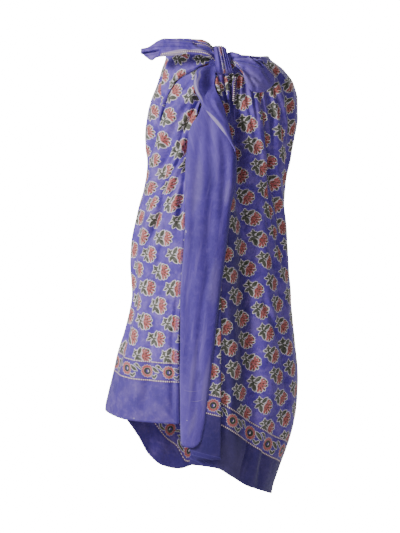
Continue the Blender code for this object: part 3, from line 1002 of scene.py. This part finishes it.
# At the side and back the cloth hangs straight down: what the narrow waist has no room for is in the folds
def slackInFolds(angle, drop):
    total = np.zeros(np.broadcast(angle, drop).shape)
    start, hanging = wrap["hangFrom"]
    last = 90.0
    for fromAngle, fromDrop, toAngle, toDrop, width, depth, bend in sorted(wrap["folds"]):
        if fromAngle <= 90:
            continue
        share = np.clip((drop - fromDrop) / (toDrop - fromDrop), 0, 1)
        line = between(fromAngle, toAngle, share) + bend * np.sin(np.pi * share)
        full = arcAt(fromAngle, hanging + 0 * drop) - arcAt(last, hanging + 0 * drop)
        slack = np.maximum(full - arcAt(fromAngle, drop) + arcAt(last, drop), 0)
        total += slack * (1 - ease(start, hanging, drop)) * ease(-1.1, 1.1, angle - line)
        last = fromAngle
    return total


def leftAlong(angle, drop):
    return arcAt(curveThrough(wrap["leftEdge"], 1, drop), drop) - arcAt(angle, drop)


def leftPrint(angle, drop):  # near the knot the cloth is drawn up, so the print turns there
    middle, half, front, back = sectionAt(drop)
    tucked = hiddenCloth(middle - half * np.sin(np.radians(np.minimum(angle, 90))), drop)
    along = leftAlong(angle, drop) - slackInFolds(angle, drop) + tucked
    high = curveThrough(wrap["fieldBase"], 1, angle) - drop
    drops, angles = wrap["drawnUpOver"]
    turn = np.radians(wrap["drawnUp"]) * (1 - ease(*drops, drop)) * (1 - ease(*angles, angle))
    aboutAlong, aboutHigh = wrap["drawnUpAt"]
    along, high = turnedBy(along - aboutAlong, high - aboutHigh, -turn)
    return np.stack([aboutAlong + along, aboutHigh + high], -1)


# Extra length along the border where it slants, summed round the wrap
perDegree = 3.4
slantSteps = perDegree / np.cos(np.radians(curveThrough(wrap["backTilt"], 1, arcAngles))) - perDegree
slantLengths = np.concatenate([[0], np.cumsum(slantSteps[:-1])])


def leftBorder(angle, drop):
    near = 1 - ease(*wrap["tiltNear"], curveThrough(wrap["hem"], 1, angle) - drop)
    tilt = np.radians(curveThrough(wrap["backTilt"], 1, angle)) * near
    high = curveThrough(wrap["backBase"], 1, angle) - drop
    shift, shiftFrom, shiftTo = wrap["borderShift"]
    along = leftAlong(angle, drop) - np.interp(angle, arcAngles, slantLengths)
    along = along - shift * ease(shiftFrom, shiftTo, angle)
    return np.stack([along + high * np.sin(tilt), high * np.cos(tilt)], -1)


def rightAlong(angle, drop):
    middle, half, front, back = sectionAt(drop)
    start = 360 + np.degrees(np.arcsin((middle - wrap["printLine"]) / half))
    return arcAt(start, drop) - arcAt(angle, drop)


def rightPrint(angle, drop):
    middle, half, front, back = sectionAt(drop)
    drawn, low, length = wrap["pleatDraw"]
    along = rightAlong(angle, drop) + hiddenCloth(middle - half * np.sin(np.radians(angle)), drop)
    along = along + drawn * np.clip((low - drop) / length, 0, 1)
    flowerAlong, flowerDrop = wrap["flowerAt"]
    spot = turnedBy(along - flowerAlong, flowerDrop - drop, math.radians(wrap["printTilt"]))
    start = np.array(wrap["flowerCloth"]) - printedLook["flowerShift"][:2]
    return np.stack(spot, -1) / wrap["printScale"] + start


def rightBorder(angle, drop):
    slope = math.radians(wrap["borderTilt"])
    high = curveThrough(wrap["printBase"], 1, angle) - drop
    along = rightAlong(angle, drop) / math.cos(slope) - high * math.sin(slope) + wrap["printStart"]
    return np.stack([along, high * math.cos(slope)], -1)


def betweenEdges(angle, down):
    return between(curveThrough(wrap["waist"], 1, angle), curveThrough(wrap["hem"], 1, angle), down)


def makeOuterWrap():
    down, across = gridOf(170, 250)
    across = np.interp(across, [0, 0.5, 1], [0, 0.3, 1])  # finer at the front
    start, stop = wrap["leftAngles"]
    drop = betweenEdges(between(start, stop, across), down)
    over, overFrom, overTo = wrap["edgeOver"]
    freeEdge = curveThrough(wrap["leftEdge"], 1, drop) - over * ease(overFrom, overTo, drop)
    angle = between(freeEdge, stop, across)
    lip = (angle - freeEdge) * wrap["edgeScale"][0]
    edgeDepth, edgeWidth = wrap["edgeTurn"]
    sideDepth, sideFrom, sideTo = wrap["sideTurn"]
    proud = -sideDepth * ease(sideFrom, sideTo, angle) - edgeDepth * (1 - ease(0, edgeWidth, lip))
    places = wrapPlace(angle, drop, proud)
    places = pushed(places, crumple(places, 3.0, 46, 1.6))
    nodes = ["wrap_front_left", "wrap_back_left", "wrap_back_right"]
    onCloth, onBorder = leftPrint(angle, drop), leftBorder(angle, drop)
    layCloth("outerWrap", places, onCloth, printedCotton, nodes, onBorder)


def makeRightFront():
    down, across = gridOf(200, 170)
    start, stop = wrap["rightAngles"]
    drop = betweenEdges(between(start, stop, across), down)
    angle = between(start, curveThrough(wrap["rightEdge"], 1, drop), across)
    edgeDepth, edgeWidth = wrap["rightTurn"]
    lip = (angle - start) * wrap["edgeScale"][1]
    proud = wrap["rightProud"] - edgeDepth * (1 - ease(0, edgeWidth, lip))
    places = wrapPlace(angle, drop, proud)
    places = pushed(places, crumple(places, 9.0, 46, 1.6))
    nodes = ["wrap_front_right"]
    onCloth, onBorder = rightPrint(angle, drop), rightBorder(angle, drop)
    layCloth("rightFront", places, onCloth, printedCotton, nodes, onBorder)


makeOuterWrap()
makeRightFront()
print("wrap made")

# Pieces that hang from the knot: left and right edges at each drop, how proud, and the swell

frontPleat = {
    "rows": [  # drop, left, right, proud, swell
        (118, -14, 8, 8, 0),
        (250, -60, 12, 8, 0),
        (420, -72, 8, 8, 1),
        (600, -76, 6, 8, 1),
        (800, -76, 5, 8, 2),
        (974, -78, 4, 9, 2),
    ],
    "under": 0.22,
    "turn": 0.34,
    "lip": 22.0,
    "depth": 2.6,
    "corner": 36.0,
    "tilt": 15.0,
    "printStart": 930.0,
    "sheet": {"slot": "printed_cotton", "flat": (0.12, 0.86), "held": "draped", "restsOn": ["rightFront"]},
}


def stripEdges(rows, drop):
    return [curveThrough(rows, column, drop) for column in (1, 2, 3, 4)]


def makeFrontPleat():
    down, across = gridOf(110, 44)
    rows = frontPleat["rows"]
    under, turn, depth = frontPleat["under"], frontPleat["turn"], frontPleat["depth"]
    drop = between(rows[0][0], rows[-1][0] - frontPleat["corner"] * ease(0.72, 1.0, across) ** 2, down)
    left, right, proud, swell = stripEdges(rows, drop)
    lip = np.minimum(frontPleat["lip"], (right - left) * 0.5)
    share = (across - turn) / (1 - turn)
    around = np.pi * np.clip((across - under) / (turn - under), 0, 1)
    beneath, over = across < under, across >= turn
    x = right - depth + depth * np.sin(around)
    x = np.where(beneath, between(right - lip, right - depth, across / under), x)
    x = np.where(over, between(right - depth, left, share), x)
    lift = np.where(beneath, proud - 2 * depth, proud - depth - depth * np.cos(around))
    lift = np.where(over, proud + swell * np.sin(np.pi * np.clip(share, 0, 1)), lift)
    places = frontPlace(x, drop, lift)
    fromEdge = np.where(over | beneath, x - right, 0)
    along, high = turnedBy(fromEdge, rows[-1][0] - drop, math.radians(frontPleat["tilt"]))
    onCloth = np.stack([along + frontPleat["printStart"], high], -1)
    layCloth("frontPleat", places, onCloth, printedCotton, ["front_pleat"])


makeFrontPleat()

waistTuck = {
    "rows": [  # x, top, bottom, lift, proud
        (-150, 138, 152, 3.2, 3.4),
        (-141, 84, 128, 3.4, 4.0),
        (-131, 30, 104, 3.8, 5.5),
        (-116, -4, 76, 3.8, 7.5),
        (-103, -9, 58, 3.2, 9.0),
        (-86, -10, 45, 2.9, 9.5),
        (-52, -10, 30, 2.9, 10),
        (-20, -9, 16, 2.9, 10),
    ],
    "close": 0.62,
    "roll": (3.5, 3.0),  # how far the lower edge rolls out, and how far its end turns back in
    "followsFolds": (-98, -122),  # x between which it begins to follow the folds below
    "printAt": (14.0, 20.0),
    "sheet": {"slot": "printed_cotton", "flat": (0.15, 0.055), "held": "draped", "restsOn": ["outerWrap"]},
}


def makeWaistTuck():
    down, across = gridOf(28, 60)
    rows = waistTuck["rows"]
    x = between(rows[-1][0], rows[0][0], across)
    top, bottom, lift, proud = (curveThrough(rows, column, x) for column in (1, 2, 3, 4))
    drop = between(top, bottom, down)
    out, back = waistTuck["roll"]
    rolled = out * np.sin(np.pi * np.clip((down - 0.72) / 0.28, 0, 1)) - back * ease(0.86, 1.0, down)
    middle, half, front, back = sectionAt(drop)
    angle = frontAngle(x, drop)
    turn = np.radians(angle)
    radius = np.hypot(half * np.cos(turn), front * np.sin(turn))
    sunk = foldRelief(angle, drop, radius) + creaseRelief(x, drop)
    sunk = (np.minimum(sunk, 0) + 1) * ease(*waistTuck["followsFolds"], x)
    lift = between(lift, waistTuck["close"] * proud, np.sin(np.pi / 2 * down) ** 2)
    places = frontPlace(x, drop, lift + rolled + sunk)
    places = pushed(places, crumple(places, 5.0, 30, 0.9))
    onCloth = leftPrint(angle, drop) + waistTuck["printAt"]
    layCloth("waistTuck", places, onCloth, printedCotton, ["waist_tuck"])


makeWaistTuck()

tail = {
    "drop": [  # drop, left, right, proud, swell
        (84, -30, -4, 12, 0),
        (118, -38, 8, 12, 1),
        (146, -48, 17, 12, 2),
        (165, -61, 23, 13, 3),
        (190, -69, 29, 13, 4),
        (220, -73, 37, 14, 4),
        (257, -77, 43, 15, 3),
        (298, -78, 42, 15, 2.5),
        (375, -79, 28, 15, 2.5),
        (450, -82, 20, 15, 2),
        (550, -89, 7, 15, 2),
        (640, -91, -3, 15, 2),
        (780, -93, -20, 15, 2),
        (868, -92, -29, 13, 3),
        (944, -90, -41, 13, 2),
    ],
    "twist": [
        (0, -20, 0, 11, 1),
        (18, -22, -2, 15, 3),
        (29, -46, -4, 17, 8),
        (38, -54, -8.6, 19, 11),
        (48, -58, -6.3, 20, 12),
        (64, -60, -9, 20, 13),
        (84, -56, -5, 20, 12),
        (104, -47, 5, 19, 10),
        (126, -35, 13, 19, 8),
        (150, -18, 19, 18, 6),
        (172, -1, 24, 17.5, 4),
        (194, 15, 28, 17, 3),
        (214, 27, 33, 16.8, 2),
        (234, 36, 40, 16.6, 1),
    ],
    "softFolds": [  # drop and x down each fold, width, depth
        ([(118, -20), (200, -18), (300, -16), (420, -22), (560, -34)], 12, -5.0),
        ([(150, -40), (260, -48), (400, -58), (560, -66)], 10, -3.0),
        ([(190, 8), (260, 14), (330, 12), (420, 6)], 10, -4.0),
        ([(500, -70), (640, -70), (800, -76)], 12, -3.0),
        ([(480, -20), (620, -40), (760, -50), (900, -58)], 9, -3.5),
        ([(240, 30), (300, 28), (380, 18)], 7, 3.0),
    ],
    "twistFolds": [
        ([(12, -14), (40, -19), (70, -20), (100, -24), (128, -25)], 17, -20.0),
        ([(36, -47), (80, -47), (110, -40), (140, -20)], 5, 5.0),
        ([(96, -12), (120, -6), (150, 6), (184, 18)], 6, 3.5),
        ([(90, -24), (120, -14), (150, 4), (185, 20)], 5, -4.0),
    ],
    "edgeIn": 7.0,
    "twistIn": 15.0,
    "cornerRise": (34.0, 15.0),
    "roundness": 0.96,
    "twistPrintAt": (200.0, 960.0),
    "sheet": {"slot": "plain_border_cotton", "flat": (0.105, 0.86), "held": "hung"},
    "twistSheet": {"slot": "plain_border_cotton", "flat": (0.045, 0.2), "held": "hung"},
}


def softFolds(folds, x, drop):
    total = np.zeros(x.shape)
    for path, width, depth in folds:
        away, fade = acrossCrease(path, x, drop)
        total += depth * fade * np.exp(-((away / width) ** 2))
    return total


def makeTail():
    down, across = gridOf(150, 36)
    rows = tail["drop"]
    rise = np.where(across < 0.5, *tail["cornerRise"])
    bottom = rows[-1][0] - rise * (1 - np.sqrt(1 - tail["roundness"] * (2 * across - 1) ** 2))
    drop = between(rows[0][0], bottom, down)
    left, right, proud, swell = stripEdges(rows, drop)
    x = between(right, left, across)
    lift = proud + swell * np.sin(np.pi * across) + softFolds(tail["softFolds"], x, drop)
    lift = lift - tail["edgeIn"] * np.abs(2 * across - 1) ** 11 * ease(150, 260, drop)
    places = frontPlace(x, drop, lift)
    places = pushed(places, crumple(places, 12.0, 60, 1.2))
    onCloth = np.stack([(right - left) * across, bottom - drop], -1)
    layCloth("tailDrop", places, onCloth, plainCotton, ["tail_drop"])

    down, across = gridOf(70, 30)
    rows = tail["twist"]
    drop = between(rows[0][0], rows[-1][0], down)
    left, right, proud, swell = stripEdges(rows, drop)
    x = between(right, left, across)
    lift = proud + swell * np.sin(np.pi * across) + softFolds(tail["twistFolds"], x, drop)
    lift = lift - tail["twistIn"] * across**7 * ease(20, 45, drop) * (1 - ease(100, 135, drop))
    places = frontPlace(x, drop, lift)
    startAlong, startHigh = tail["twistPrintAt"]
    onCloth = np.stack([startAlong + (right - left) * across, startHigh - drop], -1)
    layCloth("tailTwist", places, onCloth, plainCotton, ["tail_twist"])


makeTail()
print("hanging end made")

# The knot: its pleated band, the two tied ends and the folds below it

ties = {
    "left": [  # x, top, bottom, y, depth
        (-190, 22, 9, -84, 3.4),
        (-176, 24, -1, -88, 5),
        (-163, 31, -9, -92, 7),
        (-149, 40, -2, -97, 9),
        (-130, 45, -1, -104, 12),
        (-105, 44, 0, -111, 14),
        (-76, 42, 3, -117, 14),
        (-45, 40, 0, -121, 14),
        (-29, 36, -4, -122, 13),
        (-19, 29, -9, -121.5, 11),
        (-14, 23, -14, -120.5, 8.4),
        (-7, 13, -21, -119.5, 7.4),
        (3, 8, -22, -119.5, 7.4),
    ],
    "right": [
        (11, 7, -21, -119, 7),
        (22, 7, -19, -118.5, 6.6),
        (31, 9, -20, -119, 7.4),
        (45, 6, -29, -122, 11),
        (58, 1, -46, -123, 12),
        (70, 0, -76, -120, 13.5),
        (82, 0, -88, -116.5, 13.8),
        (94, -2, -90, -111.5, 14),
        (108, -12, -88, -106, 12),
        (122, -28, -80, -100.5, 9.5),
        (134, -40, -66, -93.5, 6),
        (138, -50, -58, -90, 3.4),
    ],
    "leftGrooves": [  # x, z to x, z, width, depth
        (-184, 10, -140, 15, 3.0, 8.5),
        (-156, 34, -44, 25, 4.0, 3.0),
        (-170, 22, -40, 18, 4.0, 3.5),
        (-142, 12, -30, 8, 3.5, 3.5),
        (-120, 41, -50, 31, 3.0, 2.0),
        (-60, 28, -14, 6, 4.5, 7.0),
        (-100, 42, -16, 20, 3.0, 2.6),
    ],
    "rightGrooves": [
        (26, -6, 108, -6, 3.5, 3.5),
        (26, -10, 112, -30, 4.0, 4.0),
        (27, -14, 100, -62, 4.5, 5.0),
        (26, -17, 76, -78, 4.0, 4.0),
        (75, -1, 106, -25, 2.8, 8.0),
        (84, -1, 115, -22, 2.8, 7.5),
        (60, -30, 92, -80, 5.0, 3.0),
        (108, -34, 128, -62, 5.0, 3.5),
    ],
    "grooving": 1.5,
    "swell": (98, -44, 34, 7.0),  # x, z, reach and height of the puffed end's fullest place
    "fullness": 0.55,
    "backShort": 0.35,
    "leftPrint": {
        "at": (2000, 107),
        "tip": (-138, -152, 40),  # x from and to, and how much lower on the border
        "back": 60,
        "rim": (119, 1.6, -58, -78, 60),  # height at the top edge, how steep, x from and to, and the fall
    },
    "rightPrint": {
        "at": (2300, 100),
        "about": (76, 2),
        "turn": (0.83, 0.56),  # cosine and sine of the print's turn, here and on the border
        "borderTurn": (0.8, 0.6),
        "back": 60,
        "outer": (70, 98, 112, 37, 1.3),  # dotted line, upper right: height, x from and to, rise, steep
        "inner": (118, 2, 80, (58, 68), (30, 24)),  # strip, lower left: height, steep, fall, x at its ends
    },
    "leftSheet": {"slot": "plain_border_cotton", "flat": (0.19, 0.08), "held": "gathered"},
    "rightSheet": {"slot": "plain_border_cotton", "flat": (0.15, 0.11), "held": "gathered"},
}


def tiePlaces(rows, outward, down, across):
    stations = [(index / (len(rows) - 1), row[0]) for index, row in enumerate(rows)]
    x = curveThrough(stations, 1, down if outward > 0 else 1 - down)
    top, bottom, y, depth = (curveThrough(rows, column, x) for column in (1, 2, 3, 4))
    turn = np.pi * across
    edge = np.where(across < 0.5, bottom, between(bottom, top, ties["backShort"]))
    high = between(edge, top, np.sin(turn) ** ties["fullness"])
    return np.stack([x, y - depth * np.cos(turn), high], -1)


def grooved(places, grooves, across):  # long folds drawn towards the knot, on the side that faces forward
    x, z = places[..., 0], places[..., 2]
    facing = 1 - ease(0.42, 0.56, across)
    for x0, z0, x1, z1, width, depth in grooves:
        long = math.hypot(x1 - x0, z1 - z0)
        share = ((x - x0) * (x1 - x0) + (z - z0) * (z1 - z0)) / long**2
        away = ((x - x0) * (z1 - z0) - (z - z0) * (x1 - x0)) / long
        fade = ease(-0.06, 0.1, share) * (1 - ease(0.85, 1.1, share))
        valley = np.exp(-((away / width / 0.8) ** 2)) - 0.45 * np.exp(-((away / width - 1.5) ** 2))
        places[..., 1] += facing * fade * ties["grooving"] * depth * valley
    return places


def makeLeftTie():
    rows, look = ties["left"], ties["leftPrint"]
    down, across = gridOf(110, 96)
    places = grooved(tiePlaces(rows, -1, down, across), ties["leftGrooves"], across)
    places = pushed(places, -crumple(places, 21.0, 26, 1.2))
    x, z = places[..., 0], places[..., 2]
    top, bottom = (curveThrough(rows, column, x) for column in (1, 2))
    startAlong, startHigh = look["at"]
    tipFrom, tipTo, tipFall = look["tip"]
    high = startHigh - (z - bottom) - tipFall * ease(tipFrom, tipTo, x)
    high = np.where(across > 0.5, look["back"] - (z - bottom), high)
    rim, steep, rimFrom, rimTo, rimFall = look["rim"]
    rim = rim - steep * (top - z) - rimFall * ease(rimFrom, rimTo, x)
    onCloth = np.stack([startAlong + x, high], -1)
    onBorder = np.stack([startAlong + x, np.maximum(high, rim)], -1)
    layCloth("tieLeft", places, onCloth, printedCotton, ["tie_left"], onBorder)


def makeRightTie():
    rows, look = ties["right"], ties["rightPrint"]
    down, across = gridOf(110, 96)
    places = grooved(tiePlaces(rows, 1, down, across), ties["rightGrooves"], across)
    places = pushed(places, crumple(places, 27.0, 26, 1.2))
    x, z = places[..., 0], places[..., 2]
    fullX, fullZ, reach, height = ties["swell"]
    full = height * np.exp(-(((x - fullX) / reach) ** 2) - ((z - fullZ) / reach) ** 2)
    places[..., 1] -= full * (1 - ease(0.42, 0.56, across))
    startAlong, startHigh = look["at"]
    fromX, fromZ = x - look["about"][0], z - look["about"][1]
    c, s = look["turn"]
    onCloth = np.stack([startAlong + c * fromX - s * fromZ, startHigh + s * fromX + c * fromZ], -1)
    top, bottom = (curveThrough(rows, column, x) for column in (1, 2))
    low, riseFrom, riseTo, rise, steep = look["outer"]
    outer = low + ease(riseFrom, riseTo, x) * (rise - steep * (top - z))
    high, steep, fall, rightEnd, leftEnd = look["inner"]
    inner = high - steep * (z - bottom) - fall * ease(*rightEnd, x) - fall * ease(*leftEnd, x)
    c, s = look["borderTurn"]
    high = np.where(across > 0.5, look["back"], np.maximum(outer, inner))
    onBorder = np.stack([startAlong + c * x - s * z, high], -1)
    layCloth("tieRight", places, onCloth, printedCotton, ["tie_right"], onBorder)


makeLeftTie()
makeRightTie()

knot = {
    "x": 8,
    "z": -8,
    "back": -110,
    "lean": 6,
    "halfWidth": 19.5,
    "halfHeight": 34,
    "reach": 25,
    "barrel": 1.6,
    "shoulder": 5.0,
    "turns": (96, -99),
    "pleats": 5,
    "pleatSpread": 0.34,
    "pleatDepth": 1.7,
    "pinch": (0.13, 0.16),
    "printAt": (2606, 60),
    "strip": (122, 9, 6),  # height of the dotted line on the border, its x, and how steep it is each side
    "sheet": {"slot": "plain_border_cotton", "flat": (0.04, 0.10), "held": "gathered"},
}


def makeKnot():
    down, across = gridOf(60, 64)
    side = 1 - 2 * across
    around = np.radians(between(knot["turns"][0], knot["turns"][1], down))
    narrow = 1 - knot["pinch"][0] * np.cos(around) ** 2 - knot["pinch"][1] * np.sin(around)
    wave = knot["pleats"] * np.pi * (side + knot["pleatSpread"] * side * side) + 0.5 * np.sin(around + 0.7)
    swing = 1 + 0.35 * np.sin(2.1 * side + 0.8)
    ripple = knot["pleatDepth"] * swing * np.cos(wave) * (0.3 + 0.7 * np.cos(around) ** 2)
    shoulder = knot["shoulder"] * np.clip(side, 0, 1) ** 3 * np.clip(np.sin(around), 0, 1) ** 2
    radiusOut = ripple - knot["barrel"] * side * side - shoulder
    y = knot["back"] - (knot["reach"] + radiusOut) * np.cos(around)
    z = knot["z"] + (knot["halfHeight"] + radiusOut) * np.sin(around)
    lean = knot["lean"] * np.sin(around)
    x = knot["x"] - lean + knot["halfWidth"] * narrow * side
    places = np.stack([x, y, z], -1)
    startAlong, startHigh = knot["printAt"]
    lineHigh, lineX, steep = knot["strip"]
    onCloth = np.stack([startAlong + z, startHigh + x], -1)
    onBorder = np.stack([startAlong + z, lineHigh - np.abs(x + lean - lineX) * steep], -1)
    layCloth("knotBand", places, onCloth, printedCotton, ["knot_band"], onBorder)


makeKnot()

gathers = {
    "rows": {  # drop, x, half width, proud, lift
        "gather_1": [(47, -4, 3, 5, 1.2), (66, -3, 5, 9, 1.2), (84, 2, 6, 9, 1.2), (108, 8, 3, 5, 1.2)],
        "gather_2": [(47, 16, 3, 4, 1.5), (70, 21, 5, 8, 1.5), (90, 24, 5, 7, 1.5), (106, 25, 3, 4, 1.5)],
        "gather_3": [(50, 41, 3, 5, 1.7), (68, 38, 6, 9, 1.7), (88, 37, 6, 8, 1.7), (110, 36, 3, 4, 1.7)],
    },
    "printAt": [(172, 160, -1), (250, 232, -1), (100, 100, 1)],  # along, height, and which way it runs
    "shell": 0.6,
    "sheet": {"slot": "printed_cotton", "flat": (0.02, 0.055), "held": "gathered"},
}


def makeGathers():
    for (node, rows), (startAlong, startHigh, sense) in zip(gathers["rows"].items(), gathers["printAt"]):
        down, across = gridOf(30, 20)
        drop = between(rows[0][0], rows[-1][0], down)
        x, half, proud, lift = (curveThrough(rows, column, drop) for column in (1, 2, 3, 4))
        around = np.pi * across
        places = frontPlace(x + half * np.cos(around), drop, lift + proud * np.sin(around), folded=True)
        along, high = startAlong + sense * (drop - rows[0][0]), startHigh + 2.2 * half * (across - 0.5)
        onCloth = np.stack([along, high], -1)
        name, sheet, shell = node.replace("_", ""), gathers["sheet"], gathers["shell"]
        layCloth(name, places, onCloth, printedCotton, [node], shell=shell)


makeGathers()
print("knot made")
